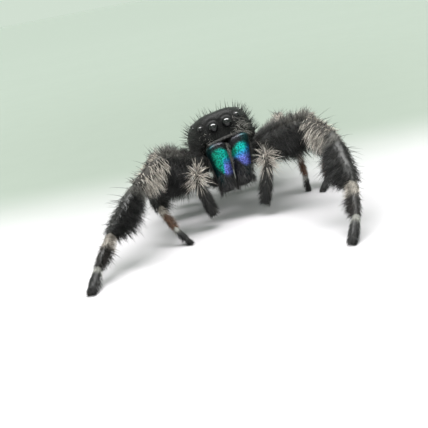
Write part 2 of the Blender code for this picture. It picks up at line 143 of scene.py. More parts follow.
# The coat of each kind of segment, for leg 1: hairs to a square millimetre, their length on the back, side
# and underside, their width, and how far they lift off the back and off the underside.
COAT = {
    "coxa": (120, 0.24, 0.30, 0.60, 0.028, 0.40, 0.90),
    "femur": (120, 0.58, 0.55, 1.00, 0.034, 0.85, 1.20),
    "patella": (46, 0.65, 0.95, 1.10, 0.058, 0.75, 1.05),
    "tibia": (120, 0.46, 0.50, 0.95, 0.032, 0.85, 1.30),
    "metatarsus": (140, 0.34, 0.38, 0.60, 0.028, 0.62, 1.25),
    "tarsus": (190, 0.26, 0.34, 0.44, 0.026, 0.50, 1.00),
    "palp_arm": (80, 0.36, 0.45, 0.55, 0.034, 0.60, 0.90),
    "palp_knee": (40, 0.60, 0.60, 0.70, 0.046, 2.20, 2.20),
    "palp_bulb": (170, 0.50, 0.50, 0.55, 0.036, 0.52, 0.52),
}
# Number and usual length of the hairs in the fringe under a segment of leg 1. Other legs have fewer, shorter
# ones, by their size. A few hairs are longer and thicker than the rest.
FRINGE = {"femur": (2300, 1.25), "patella": (300, 0.90), "tibia": (1500, 1.00), "metatarsus": (320, 0.55)}
# The same of the crest on the back, and the part of the segment's length on which it stands.
CREST = {"femur": (330, 0.85, (0.35, 1.0)), "patella": (50, 0.70, (0.0, 0.6))}
# Number of long bristles on the back and sides of a segment, and the length of the longest of leg 1.
BRISTLES = {
    "femur": (40, 1.00),
    "patella": (18, 1.45),
    "tibia": (34, 1.50),
    "metatarsus": (18, 0.70),
    "palp_bulb": (8, 0.5),
}
# Hair of half the abdomen: number, shortest and longest, how far it stands up, width, brightness and joints.
ABDOMEN_HAIRS = (
    (12500, 0.20, 0.38, 0.55, 0.024, 1.0, 2),
    (700, 0.5, 0.95, 1.0, 0.028, 0.8, 3),
)
# Number and width of the other hairs. Of palp_star, shell, shell_bristles and cheek only a part is kept.
OTHER_HAIRS = {
    "palp_star": (220, 0.060),
    "front_tuft": (170, 0.026),
    "tuft": (110, 0.026),
    "shell": (12500, 0.018),
    "shell_bristles": (1300, 0.036),
    "cheek": (16000, 0.020),
    "clypeus": (420, 0.020),
    "sternum": (900, 0.020),
}
FRINGE_WIDTH, SPIKE_WIDTH, CREST_WIDTH, BRISTLE_WIDTH, JAW_BRISTLE_WIDTH = 0.034, 0.046, 0.042, 0.036, 0.022
# Bristles of a jaw: number, from where to where along it and round it, share of the usual length, and colour.
JAW_BRISTLES = (
    (50, (0.02, 0.50), (2.5, 2.9), 1.0, GREY * 1.2),  # between the jaws
    (240, (0.15, 0.95), (-0.5, 0.5), 1.0, SOOT),  # on the outer side
    (300, (0.78, 0.98), (0, math.tau), 1.0, SOOT),  # round the tip
    (160, (0.60, 0.95), (0.6, 2.5), 0.7, SOOT),  # on the front
)
ROOT_DEPTH = 0.02  # of a hair in the skin
HAIR_CLEARANCE, CLAW_CLEARANCE = 0.006, 0.01  # least height above the floor
STRAND_PATCH = (0.0012, 0.0013, 0.0015)  # a hair on the unwrap: half width, half height, height of its tip
CLAW_LENGTH, CLAW_RADIUS, CLAW_TIP = 0.20, 0.028, 0.002


def unit(v):
    v = np.asarray(v, float)
    return v / np.maximum(np.linalg.norm(v, axis=-1, keepdims=True), 1e-9)


def smooth(x, low, high):
    """0 below low and 1 above high, eased between them."""
    t = np.clip((np.asarray(x, float) - low) / (high - low), 0, 1)
    return t * t * (3 - 2 * t)


def eased(share, power):
    return np.clip(share, 0, 1) ** power


def bell(*terms):
    """1 where every value is at its middle, less the more widths it is away: (value, middle, width) each."""
    return np.exp(-sum(((value - middle) / width) ** 2 for value, middle, width in terms))


def blend(a, b, share):
    """From colour or vector a to b, one row for each share."""
    share = np.asarray(share, float)[..., None]
    return a * (1 - share) + b * share


def rows(value, count):
    """The same colour or vector, count times."""
    return np.tile(value, (count, 1))


def stacked(*columns):
    """One row for each point, from the columns."""
    return np.stack(columns, axis=-1)


def circle(sides):
    return np.arange(sides) * math.tau / sides


def bent(value, power):
    """A sine or cosine for a superellipse of that power instead of a circle."""
    return np.sign(value) * np.abs(value) ** (2 / power)


# ---- Meshes ----


def linked(name, data):
    """A new object in the scene."""
    made = bpy.data.objects.new(name, data)
    bpy.context.scene.collection.objects.link(made)
    return made


def new_mesh(name, points, faces):
    """A smooth object from points in millimetres and faces all of one size."""
    mesh = bpy.data.meshes.new(name)
    points = np.asarray(points, np.float32) * MM
    faces = np.asarray(faces, np.int32)
    mesh.vertices.add(len(points))
    mesh.vertices.foreach_set("co", points.ravel())
    mesh.loops.add(faces.size)
    mesh.loops.foreach_set("vertex_index", faces.ravel())
    mesh.polygons.add(len(faces))
    mesh.polygons.foreach_set("loop_start", np.arange(0, faces.size, faces.shape[1], dtype=np.int32))
    mesh.update(calc_edges=True)
    mesh.shade_smooth()
    return linked(name, mesh)


def grid_faces(rings, sides):
    """Quads between neighbouring closed rings."""
    i = np.arange(rings - 1)[:, None] * sides
    j = np.arange(sides)[None]
    k = (j + 1) % sides
    return stacked(i + j, i + k, i + sides + k, i + sides + j).reshape(-1, 4)


def capped(points, rings, sides):
    """Triangles of a ringed tube whose first and last rings are closed to a point."""
    quads = grid_faces(rings, sides)
    first, last = len(points), len(points) + 1
    j = np.arange(sides)
    k = (j + 1) % sides
    base = (rings - 1) * sides
    start = stacked(np.full(sides, first), k, j)
    end = stacked(np.full(sides, last), base + j, base + k)
    middles = np.array((points[:sides].mean(0), points[base:].mean(0)))
    faces = np.concatenate((quads[:, (0, 1, 2)], quads[:, (0, 2, 3)], start, end))
    return np.concatenate((points, middles)), faces


def joined(parts):
    """One set of points and faces from several."""
    points, faces, count = [], [], 0
    for some_points, some_faces in parts:
        points.append(some_points)
        faces.append(some_faces + count)
        count += len(some_points)
    return np.concatenate(points), np.concatenate(faces)


def vertex_rows(made, what):
    """What each vertex has, such as its place or normal."""
    flat = np.zeros(len(made.data.vertices) * 3, np.float32)
    made.data.vertices.foreach_get(what, flat)
    return flat.reshape(-1, 3).astype(float)


def points_of(made):
    return vertex_rows(made, "co") / MM


def node_points(name):
    """A CAD node's distinct corners, in millimetres."""
    return np.unique(np.round(points_of(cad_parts[name]), 4), axis=0)


def gaps(points, others):
    """Distance from each point to the nearest of the others."""
    return np.linalg.norm(points[:, None] - others[None], axis=2).min(1)


def dress(made, tint, material, nodes=()):
    """Gives a piece its colours, slot, material and body, and the CAD nodes it stands for."""
    rgba = np.ones((len(made.data.vertices), 4), np.float32)
    rgba[:, :3] = np.clip(tint, 0, 1)
    made.data.attributes.new("tint", "FLOAT_COLOR", "POINT").data.foreach_set("color", rgba.ravel())
    made.data.materials.append(material)
    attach(made, "root")
    if nodes:
        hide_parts(*nodes)
    return made


# ---- Materials ----

NOISE_MIDDLE = (0.3, 0.7)  # where most values of a noise lie
MIX_FIRST, MIX_SECOND, MIX_RESULT = 6, 7, 2  # the colour sockets of a Mix node


class Shader:
    """A Principled material with a few helpers for its node tree."""

    def __init__(self, name, settings):
        self.material = bpy.data.materials.new(name)
        self.material.use_nodes = True
        self.tree = self.material.node_tree
        self.main = self.tree.nodes["Principled BSDF"]
        for socket, value in settings.items():
            self.main.inputs[socket].default_value = value

    def node(self, kind, inputs=()):
        made = self.tree.nodes.new(kind)
        for name, value in inputs:
            made.inputs[name].default_value = value
        return made

    def link(self, source, target):
        self.tree.links.new(source, target)

    def vector_math(self, operation, source):
        made = self.node("ShaderNodeVectorMath")
        made.operation = operation
        self.link(source, made.inputs[0])
        return made

    def place(self):
        return self.node("ShaderNodeTexCoord").outputs["Object"]

    def noise(self, size, detail=3.0):
        """Noise with features about size millimetres across."""
        made = self.node("ShaderNodeTexNoise", (("Scale", 1 / (size * MM)), ("Detail", detail)))
        self.link(self.place(), made.inputs["Vector"])
        return made.outputs["Fac"]

    def cells(self, size):
        made = self.node("ShaderNodeTexVoronoi", (("Scale", 1 / (size * MM)),))
        self.link(self.place(), made.inputs["Vector"])
        return made

    def mapped(self, source, start, goal=(0.0, 1.0), easing="LINEAR"):
        """The source with the range start turned into the range goal."""
        names = ("From Min", "From Max", "To Min", "To Max")
        made = self.node("ShaderNodeMapRange", zip(names, (*start, *goal)))
        made.interpolation_type = easing
        self.link(source, made.inputs["Value"])
        return made.outputs["Result"]

    def tint(self):
        made = self.node("ShaderNodeAttribute")
        made.attribute_name = "tint"
        return made.outputs["Color"]

    def mottle(self, colour, noise, low, high):
        """The base colour: a colour made lighter or darker by a noise."""
        made = self.vector_math("SCALE", colour)
        self.link(self.mapped(noise, NOISE_MIDDLE, (low, high)), made.inputs["Scale"])
        self.link(made.outputs["Vector"], self.main.inputs["Base Color"])

    def bump(self, height, depth, strength):
        """Bump of the given depth in millimetres."""
        made = self.node("ShaderNodeBump", (("Strength", strength), ("Distance", depth * MM)))
        self.link(height, made.inputs["Height"])
        self.link(made.outputs["Normal"], self.main.inputs["Normal"])


def grained(name, grain, low, high, settings):
    """A material whose tint is lighter or darker in grains of that many millimetres."""
    shader = Shader(name, settings)
    shader.mottle(shader.tint(), shader.noise(grain), low, high)
    return shader


def skin_material():
    """Satin black cuticle, dull where the hair over it is pale."""
    settings = {"Roughness": 0.5, "Specular IOR Level": 0.35, "Sheen Weight": 0.06}
    shader = grained("skin", 0.35, 0.7, 1.35, settings)
    shader.bump(shader.noise(0.035, 4.0), 0.02, 0.7)
    dull = shader.mapped(shader.tint(), (0.015, 0.05), (0.5, 0.95))
    shader.link(dull, shader.main.inputs["Roughness"])
    return shader.material


def shell_material():
    """The carapace: finely pitted and a little glossy, with the grain of short hair."""
    shader = grained("shell", 0.25, 0.7, 1.4, {"Roughness": 0.52, "Specular IOR Level": 0.14})
    shader.bump(shader.cells(0.045).outputs["Distance"], 0.016, 0.8)
    return shader.material


def hair_material():
    return grained("hair", 0.12, 0.8, 1.25, {"Roughness": 0.5, "Specular IOR Level": 0.35}).material


def jaw_material():
    """Iridescent scales: each cell has its own brightness and tilt."""
    shader = Shader("jaw", {"Roughness": 0.34, "Metallic": 0.85, "Specular IOR Level": 0.6})
    cells = shader.cells(0.055)
    split = shader.node("ShaderNodeSeparateColor")
    shader.link(cells.outputs["Color"], split.inputs["Color"])
    shader.mottle(shader.tint(), split.outputs["Red"], 0.40, 1.5)
    shader.bump(cells.outputs["Distance"], 0.02, 0.8)
    return shader.material


def eye_material():
    return grained("eye", 0.3, 0.9, 1.1, {"Roughness": 0.03, "IOR": 1.5}).material


def claw_material():
    return grained("claw", 0.1, 0.8, 1.2, {"Roughness": 0.3}).material


def floor_ramp(shader, distance, goal):
    """The board's colour at shares of FLOOR_FAR, so that it shows the goal under the lamp and the world."""
    made = shader.node("ShaderNodeValToRGB")
    stops = made.color_ramp.elements
    stops.remove(stops[-1])
    for share in FLOOR_STOPS[1:]:
        stops.new(share)
    for stop, share in zip(stops, FLOOR_STOPS):
        lamp = LAMP_SHARE / (1 + (share * FLOOR_FAR / LAMP_HEIGHT) ** 2) ** 2
        tone = [min(0.97, g / (w + lamp)) for g, w in zip(goal, WORLD_COLOUR)]
        stop.color = (*tone, 1)
    shader.link(distance, made.inputs["Fac"])
    return made.outputs["Color"]


def floor_material():
    """Matt pale board: white in front of the model and pale green behind it, evened out under the lamps."""
    shader = Shader("floor", {"Roughness": 0.7})
    distance = shader.vector_math("LENGTH", shader.place()).outputs["Value"]
    span = shader.mapped(distance, (0.0, FLOOR_FAR * MM))
    depth = shader.node("ShaderNodeSeparateXYZ")
    shader.link(shader.place(), depth.inputs["Vector"])
    behind = shader.mapped(depth.outputs["Y"], [y * MM for y in FLOOR_TURN], easing="SMOOTHSTEP")
    mixed = shader.node("ShaderNodeMix")
    mixed.data_type = "RGBA"
    shader.link(behind, mixed.inputs["Factor"])
    shader.link(floor_ramp(shader, span, FLOOR_FRONT), mixed.inputs[MIX_FIRST])
    shader.link(floor_ramp(shader, span, FLOOR_BACK), mixed.inputs[MIX_SECOND])
    shader.mottle(mixed.outputs[MIX_RESULT], shader.noise(3.0), 0.99, 1.01)
    return shader.material


# ---- Where things are ----


def eye_places():
    """Name, middle in the head's frame and radius of each of the eight eyes."""
    for name, out, back, height, radius in EYES:
        for side, sign in SIDES:
            yield f"{name}_{side}", np.array((sign * out, FACE_Y + back, height)), radius


def head_frame():
    """The turn and shift that carry the head's frame to the world, from the places of the eight eyes."""
    local = np.array([middle for _, middle, _ in eye_places()])
    boxes = np.array([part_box(name) for name, _, _ in eye_places()])
    world = (boxes[:, 0] + boxes[:, 1]) / 2 / MM
    u, _, vt = np.linalg.svd((local - local.mean(0)).T @ (world - world.mean(0)))
    turn = u @ np.diag((1, 1, np.sign(np.linalg.det(u @ vt)))) @ vt
    return turn, world.mean(0) - local.mean(0) @ turn


HEAD_TURN, HEAD_SHIFT = head_frame()
HEAD_LEFT, HEAD_BACK, HEAD_UP = HEAD_TURN


def from_head(points):
    return np.asarray(points, float) @ HEAD_TURN + HEAD_SHIFT


def to_head(points):
    return (np.asarray(points, float) - HEAD_SHIFT) @ HEAD_TURN.T


def near_end(name, goal):
    """The middle of the end of a node that is towards the goal."""
    points = node_points(name)
    return points[np.argsort(gaps(points, goal[None]))[:END_POINTS]].mean(0)


def abdomen_frame():
    """Origin and axes (rows x, y, z) of the abdomen, from its stalk to its spinnerets."""
    middle = node_points("abdomen").mean(0)
    front, back = near_end("pedicel", middle), near_end("spinnerets", middle)
    along = unit(back - front)
    across = unit(np.cross(along, UP))
    return front, np.array((across, along, np.cross(across, along)))


ABDOMEN_START, ABDOMEN_AXES = abdomen_frame()


def to_abdomen(points):
    return (points - ABDOMEN_START) @ ABDOMEN_AXES.T


class Segment:
    """A straight length of limb with round ends, and its own axes."""

    def __init__(self, limb, kind, start, end, back, sizes, first_joint, scale=1.0, thickness=1.0):
        self.limb, self.kind, self.scale, self.thickness = limb, kind, scale, thickness
        self.start, self.end = start, end
        self.length = float(np.linalg.norm(end - start))
        self.along = unit(end - start)
        self.back = unit(back - self.along * np.dot(back, self.along))
        self.side = np.cross(self.back, self.along)
        self.half_width, self.rise, self.drop, self.last_joint = sizes
        self.first_joint = first_joint

    def sizes(self, share):
        """Half width and reach to the back and to the underside."""
        swell = np.sin(np.pi * np.clip(share, 0, 1)) ** 0.6
        joint = self.first_joint + (self.last_joint - self.first_joint) * share
        return [joint + (full - joint) * swell for full in (self.half_width, self.rise, self.drop)]

    def surface(self, share, angle):
        """Points on the bare limb and its outward directions there."""
        across, rise, drop = self.sizes(share)
        c, s = np.cos(angle), np.sin(angle)
        tall = np.where(c > 0, rise, drop)
        centre = self.start + self.along * (self.length * share)[:, None]
        points = centre + self.side * (across * s)[:, None] + self.back * (tall * c)[:, None]
        outward = unit(self.side * (s / across)[:, None] + self.back * (c / tall)[:, None])
        return points, outward

    def locate(self, points):
        """Share along, angle round and distance off the axis as a share of the radius, of points in space."""
        way = points - self.start
        share = way @ self.along / self.length
        x, z = way @ self.side, way @ self.back
        across, rise, drop = self.sizes(np.clip(share, 0, 1))
        tall = np.where(z > 0, rise, drop)
        beyond = np.maximum(0, np.maximum(-share, share - 1)) * self.length
        off = np.sqrt((x / across) ** 2 + (z / tall) ** 2 + (beyond / self.half_width) ** 2)
        return np.clip(share, 0, 1), np.arctan2(x / across, z / tall), off

    def tube(self, sides=24):
        """The skin as triangles, with rounded ends."""
        caps = (0.97, 0.75, 0.4)
        rings = [(0.0, -q * self.first_joint, math.sqrt(1 - q * q)) for q in caps]
        rings += [(share, 0.0, 1.0) for share in np.linspace(0, 1, 11)]
        rings += [(1.0, q * self.last_joint, math.sqrt(1 - q * q)) for q in reversed(caps)]
        points = []
        for share, offset, size in rings:
            ring, _ = self.surface(np.full(sides, share), circle(sides))
            centre = self.start + self.along * self.length * share
            points.append(centre + (ring - centre) * size + self.along * offset)
        return capped(np.concatenate(points), len(rings), sides)

    def roots(self, share, angle):
        """Roots of hairs just under the bare limb, their outward directions and places on the unwrap."""
        points, outward = self.surface(share, angle)
        return points - outward * ROOT_DEPTH, outward, self.places(share, angle)

    def places(self, share, angle):
        """Places on the limb's unwrap: each segment has its own strip, its length across and its girth up."""
        u = 0.03 + 0.94 * share
        v = 0.03 + 0.94 / self.strips * (self.strip + 0.04 + 0.92 * (angle / math.tau % 1.0))
        return stacked(u, v)


def numbered(segments):
    """The segments of a limb, each with its own strip of the limb's unwrap."""
    for index, segment in enumerate(segments):
        segment.strip, segment.strips = index, len(segments)
    return segments


def leg_segments(side, number):
    """The segments of one leg, from the places of its CAD nodes."""
    leg, thickness = f"leg_{side}_{number}", THICKNESS[number - 1]
    nodes = [node_points(f"{leg}_{name}") for name in SEGMENTS]
    joints = [near[gaps(near, far) < JOINT_GAP].mean(0) for near, far in zip(nodes, nodes[1:])]
    foot = nodes[-1][nodes[-1][:, 2] < FLOOR_GAP].mean(0)
    scale = float(np.linalg.norm(joints[1] - joints[0])) / PATELLA_LENGTH
    from_knee = np.linalg.norm(nodes[0] - joints[0], axis=1)
    hip = nodes[0][np.argsort(from_knee)[-END_POINTS:]].mean(0)
    shoulder = joints[0] + unit(hip - joints[0]) * FEMUR_LENGTH * scale
    coxa_sizes = np.array(BARE["coxa"]) * max(thickness, COXA_LEAST)
    made = [Segment(leg, "coxa", hip, shoulder, UP, coxa_sizes, coxa_sizes[0], scale, thickness)]
    ends = [shoulder, *joints, foot + UP * FOOT_HEIGHT * thickness]
    first_joint = BARE["coxa"][3] * thickness
    for name, points, start, end in zip(SEGMENTS, nodes, ends, ends[1:]):
        span = end - start
        share = (points - start) @ span / (span @ span)
        inner = points[(share > 0.3) & (share < 0.75)]
        below = unit(inner.mean(0) - (start + end) / 2) if len(inner) else -UP
        sizes = np.array(BARE[name]) * thickness
        made.append(Segment(leg, name, start, end, -below, sizes, first_joint, scale, thickness))
        first_joint = sizes[3]
    return numbered(made)


def palp_segments(side, sign):
    """The segments of one palp, from its joints in the head's frame."""
    joints = from_head([(sign * PALP_HIP[0], *PALP_HIP[1:]), *PALP_JOINTS[side]])
    made = []
    for i, kind in enumerate(PALP_KINDS):
        near, far = PALP_RADII[i], PALP_RADII[i + 1]
        middle = (near + far) / 2 * PALP_SWELLS[i]
        back = HEAD_UP if i < 2 else sign * HEAD_LEFT - HEAD_BACK
        sizes = (middle, middle, middle, far)
        made.append(Segment(f"palp_{side}", kind, joints[i], joints[i + 1], back, sizes, near))
    return numbered(made)


LEGS = {(side, n): leg_segments(side, n) for side, _ in SIDES for n in range(1, 5)}
PALPS = {side: palp_segments(side, sign) for side, sign in SIDES}
ALL_SEGMENTS = [segment for limb in (*LEGS.values(), *PALPS.values()) for segment in limb]


# ---- Markings, shared by the skin and the coat ----


def limb_tone(segment, share, angle):
    """Colour of the hair at places on a limb, from one colour to another in each kind of segment."""
    up = np.cos(angle)
    black = blend(SOOT * 0.85, BLACK * 0.75, smooth(-up, -0.2, 0.8))
    rusty = blend(BLACK, RUST, 0.04 if segment.limb.endswith("_1") else 0.75)
    cream = blend(BLUSH, WHITE, 0.45)
    knee = blend(PALE * 1.05, BLUSH, smooth(up, 0.4, 1.0) * 0.4)
    tones = {
        "coxa": (black, black, 0 * share),
        "femur": (black, GREY * 1.5, smooth(up, 0.1, 0.8) * smooth(share, 0.30, 0.85) * 0.85),
        "patella": (knee, SOOT * 2, smooth(share, 0.80, 1.0) * 0.7),
        "tibia": (black, GREY * 1.3, (1 - smooth(share, 0.06, 0.24)) * 0.8),
        "metatarsus": (rusty, cream, 1 - smooth(share, 0.30, 0.48)),
        "tarsus": (BLACK * 1.3, WHITE * 0.8, 1 - smooth(share, 0.14, 0.30)),
        "palp_arm": (SOOT * 1.5, GREY, smooth(share, 0.5, 1.0)),
        "palp_knee": (PALE * 1.15, PALE, 0 * share),
        "palp_bulb": (SOOT * 2.2, BLACK * 2, smooth(share, 0.05, 0.5)),
    }
    return blend(*tones[segment.kind])


def abdomen_tone(points):
    """Black, with a pale band round the front and pale spots behind."""
    x, y, z = to_abdomen(points).T
    y = y / ABDOMEN_LENGTH
    band = bell((y - 0.13 - 0.02 * np.abs(x), 0, 0.035)) * smooth(z, -0.4, 0.3)
    spot = bell((y, 0.52, 0.055), (x, 0, 0.42 - 0.5 * (y - 0.52)))
    dots = np.zeros(len(points))
    for along, out, size in ((0.34, 0.75, 0.17), (0.70, 0.62, 0.22), (0.83, 0.48, 0.17)):
        dots += bell(((y - along) * ABDOMEN_LENGTH, 0, size), (np.abs(x), out, size))
    pale = np.clip(band + (spot + dots) * smooth(z, -0.2, 0.5), 0, 1)
    return blend(SOOT, WHITE, pale)


def shell_tone(points):
    """Black, dusted with grey towards the back."""
    return blend(BLACK * 0.6, GREY, smooth(to_head(points)[:, 1], -1.0, 1.5) * 0.10)


def jaw_tone(sign, share, lateral, front):
    """Green and cyan above, blue and violet below, black at the tip, dark teal on the outer side, and dark
    along the top as painted shadow under the carapace's edge.
    """
    # Share down the jaw above which it stays dark: painted shadow cast by the carapace's edge.
    top = (0.20 if sign > 0 else 0.16) + 0.12 * lateral**2
    if sign > 0:
        upper = blend(JAW_GREEN, JAW_CYAN, smooth(lateral, -0.6, 0.2))
        upper = blend(upper, JAW_BLUE * 1.15, smooth(lateral + 2.0 * share, 0.9, 1.5))
        violet_top = 0.36 + 0.06 * smooth(-lateral, 0.0, 1.0)
        lit_end = 0.62 - 0.24 * smooth(-lateral, -0.5, 0.8)
        outer = smooth(lateral, 0.80, 1.0)
    else:
        upper = blend(JAW_GREEN, JAW_CYAN, 0.5 * smooth(lateral, -0.4, 0.5))
        violet_top = 0.38 + 0.5 * smooth(-lateral, -0.25, 0.3)
        lit_end = 0.66 - 0.22 * smooth(-lateral, -0.2, 0.7)
        outer = smooth(-lateral, 0.42, 0.74)
    lower = blend(JAW_BLUE, JAW_VIOLET, smooth(share, violet_top, violet_top + 0.12))
    colour = blend(upper, lower, smooth(share, violet_top - 0.07, violet_top + 0.03))
    lit = (1 - smooth(share, lit_end - 0.05, lit_end + 0.06)) * smooth(front, -0.05, 0.45)
    # Dark above the top share: painted shadow under the carapace's edge.
    lit = lit * smooth(share, top - 0.05, top + 0.03) * (1 - 0.9 * outer)
    shade = (1 - smooth(share, 0.6, 0.95)) * smooth(lateral * sign, -0.1, 0.8)
    return blend(blend(JAW_DARK, JAW_TEAL, shade), colour, lit)


# ---- Shell, eyes and jaws ----


def carapace_section(share):
    """Half width, top and bottom of the carapace at shares of its length behind the face."""
    ahead = eased((0.58 - share) / 0.58, 2.2)
    behind = eased((share - 0.58) / 0.42, 2.8)
    half_width = CARAPACE_WIDTH / 2 * (1 - 0.43 * ahead) * np.sqrt(1 - 0.82 * behind)
    brow = eased((0.42 - share) / 0.42, 3.0)
    slope = eased((share - 0.42) / 0.58, 1.7)
    top = CARAPACE_TOP - 0.22 * brow - 1.55 * slope
    bottom = CLYPEUS_EDGE * eased(1 - share / 0.42, 1.2) + 0.25 * behind
    return half_width, top, bottom


def carapace_points(stations=96, sides=200):
    """Rings from the middle of the face round to the rear end, in the head's frame."""
    share = (1 - np.cos(np.pi * np.linspace(0, 1, stations))) / 2
    closing = 1 - 0.28 * eased(1 - share / 0.10, 5.0) - 0.45 * eased((share - 0.93) / 0.07, 2.2)
    inner = np.array((0.02, 0.25, 0.5, 0.7, 0.85, 0.94))  # sizes of the rings that fill the two ends
    share = np.concatenate((0 * inner, share, 0 * inner + 1))
    closing = np.concatenate((closing[0] * inner, closing, closing[-1] * inner[::-1]))
    half_width, top, bottom = carapace_section(share)
    waist = bottom + (top - bottom) * CARAPACE_WAIST / CARAPACE_TOP
    c, s = np.cos(circle(sides)), np.sin(circle(sides))
    rise = np.where(s > 0, (top - waist)[:, None], (waist - bottom)[:, None])
    size = (closing - CARAPACE_INSET)[:, None]
    x = half_width[:, None] * size * bent(c, CARAPACE_POWER)
    z = waist[:, None] + rise * size * bent(s, CARAPACE_POWER)
    y = (FACE_Y + CARAPACE_LENGTH * share)[:, None] + 0 * x
    return stacked(x, y, z).reshape(-1, 3), len(share), sides


def build_shell():
    """The carapace, drawn up into a low rim round each eye and grooved behind the eyes."""
    local, rings, sides = carapace_points()
    made = new_mesh("carapace_shell", from_head(local), grid_faces(rings, sides)[:, ::-1])
    outward = vertex_rows(made, "normal") @ HEAD_TURN.T
    shift = np.zeros(len(local))
    for _, middle, radius in eye_places():
        off = np.linalg.norm(local - middle, axis=1) / radius
        shift += 0.09 * radius * bell((off, 1.06, 0.13))
        shift -= 0.10 * radius * bell((off, 1.45, 0.25))
    x, y, z = local.T
    shift -= 0.06 * bell((x, 0, 0.09), (y, 0.6, 0.45)) * (z > 1.2)
    shift -= 0.03 * bell((y - 0.1 - 0.35 * np.abs(x), 0, 0.25)) * (z > 0.8)
    world = from_head(local + outward * shift[:, None])
    made.data.vertices.foreach_set("co", (world * MM).astype(np.float32).ravel())
    made.data.update()
    return dress(made, shell_tone(world), shell_material(), ["carapace"])


def eye_points(radius):
    """A ball whose front, towards -Y, is a little flatter than its sides."""
    a = np.linspace(0.02, math.pi - 0.02, EYE_RINGS)[:, None]
    b = circle(EYE_SIDES)[None]
    x, z = np.sin(a) * np.cos(b) * radius, np.sin(a) * np.sin(b) * radius
    y = -np.cos(a) * radius * 0.97 + 0 * b
    return stacked(x, y, z).reshape(-1, 3)


def build_eyes():
    material = eye_material()
    for name, middle, radius in eye_places():
        points = from_head(middle + eye_points(radius))
        made = new_mesh(f"{name}_lens", points, grid_faces(EYE_RINGS, EYE_SIDES)[:, ::-1])
        dress(made, EYE_BLACK, material, [name])


def jaw_section(sign, share, closing=1.0):
    """Middle, half width and share of full depth of a jaw at shares of its length."""
    full = np.sqrt(1 - (np.abs(share - 0.34) / 0.78) ** 2.6) * closing
    centre = JAW_TOP + (JAW_TIP - JAW_TOP) * share[:, None]
    centre[:, 0] *= sign
    half_width = np.minimum(JAW_HALF_WIDTH * full, np.abs(centre[:, 0]) - JAW_CLEARANCE)
    centre[:, 0] -= JAW_LEAN * (JAW_TOP[2] - centre[:, 2])
    return centre, half_width, full


def build_jaws(sides=72):
    """The two iridescent jaw bases, each a barrel drawn in to the fang's joint."""
    material = jaw_material()
    stations = ((0, 0.1, 9), (0.1, 0.93, 44), (0.93, 1, 12))  # closer together at the ends
    share = np.unique(np.concatenate([np.linspace(*span) for span in stations]))
    closing = 1 - 0.30 * eased(1 - share / 0.09, 2.2)
    closing *= np.sqrt(1 - 0.985 * eased((share - 0.93) / 0.07, 2.4))
    ahead = unit(stacked(0 * share, 0 * share - 1, JAW_SLOPE * (1 - share) ** 2))
    c, s = np.cos(circle(sides)), np.sin(circle(sides))
    depth = np.where(s > 0, JAW_FRONT, JAW_BACK) * bent(s, JAW_POWER)
    for side, sign in SIDES:
        centre, half_width, full = jaw_section(sign, share, closing)
        points = centre[:, None] + ahead[:, None] * (full[:, None] * depth)[..., None]
        points[..., 0] += half_width[:, None] * bent(c, JAW_POWER)
        made = new_mesh(f"jaw_{side}", from_head(points.reshape(-1, 3)), grid_faces(len(share), sides))
        tint = jaw_tone(sign, np.repeat(share, sides), np.tile(c, len(share)), np.tile(s, len(share)))
        dress(made, tint, material, [f"chelicera_{side}"])


# ---- Skin ----


def abdomen_surface(share, angle):
    """Points on the abdomen under its hair and their outward directions."""
    swell = np.sin(np.pi * np.clip(share, 0.035, 0.97) ** 0.82) ** 0.62
    full = (ABDOMEN_HALF_WIDTH, ABDOMEN_HALF_DEPTH, ABDOMEN_HALF_DEPTH * 0.9)
    wide, rise, drop = (np.maximum(reach * swell - ABDOMEN_COAT, 0.02) for reach in full)
    c, s = np.cos(angle), np.sin(angle)
    tall = np.where(c > 0, rise, drop)
    slope = np.cos(np.pi * share**0.82) * 0.9
    height = tall * c + ABDOMEN_LIFT * np.sin(np.pi * share)
    local = stacked(wide * s, ABDOMEN_LENGTH * share, height)
    outward = unit(stacked(s / wide, -slope / ABDOMEN_HALF_WIDTH, c / tall))
    return ABDOMEN_START + local @ ABDOMEN_AXES, outward @ ABDOMEN_AXES


def inset_copy(name, inset):
    """A CAD node's closed mesh as points and triangles, pulled in by the inset (out where negative)."""
    bm = bmesh.new()
    bm.from_mesh(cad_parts[name].data)
    bmesh.ops.remove_doubles(bm, verts=bm.verts, dist=1e-7)
    bmesh.ops.triangulate(bm, faces=bm.faces)
    bm.normal_update()
    points = np.array([v.co - v.normal * inset * MM for v in bm.verts]) / MM
    faces = np.array([[v.index for v in f.verts] for f in bm.faces])
    bm.free()
    return points, faces


def build_skin():
    """One skin over the legs, palps, underside and abdomen."""
    parts = [segment.tube() for segment in ALL_SEGMENTS]
    share = np.repeat(np.linspace(0.012, 0.985, BODY_RINGS), BODY_SIDES)
    body, _ = abdomen_surface(share, np.tile(circle(BODY_SIDES), BODY_RINGS))
    parts.append(capped(body, BODY_RINGS, BODY_SIDES))
    parts += [inset_copy(name, inset) for name, inset in BODY_INSETS.items()]
    points, faces = joined(parts)
    made = new_mesh("spider_skin", points / MM, faces)  # a thousand times too large until it is remeshed
    remesh = made.modifiers.new("remesh", "REMESH")
    remesh.mode = "VOXEL"
    remesh.voxel_size = SKIN_VOXEL
    relax = made.modifiers.new("relax", "SMOOTH")
    relax.factor = 0.5
    relax.iterations = SKIN_SMOOTHING
    graph = bpy.context.evaluated_depsgraph_get()
    final = bpy.data.meshes.new_from_object(made.evaluated_get(graph))
    made.modifiers.clear()
    made.data = final
    final.transform(Matrix.Scale(MM, 4))
    final.name = "spider_skin"
    final.shade_smooth()
    nodes = ["abdomen", *BODY_INSETS]
    nodes += [f"leg_{side}_{n}_{name}" for side, n in LEGS for name in SEGMENTS]
    nodes += [f"palp_{side}_{piece}" for side, _ in SIDES for piece in ("arm", "bulb")]
    dress(made, skin_tone(points_of(made)), skin_material(), nodes)


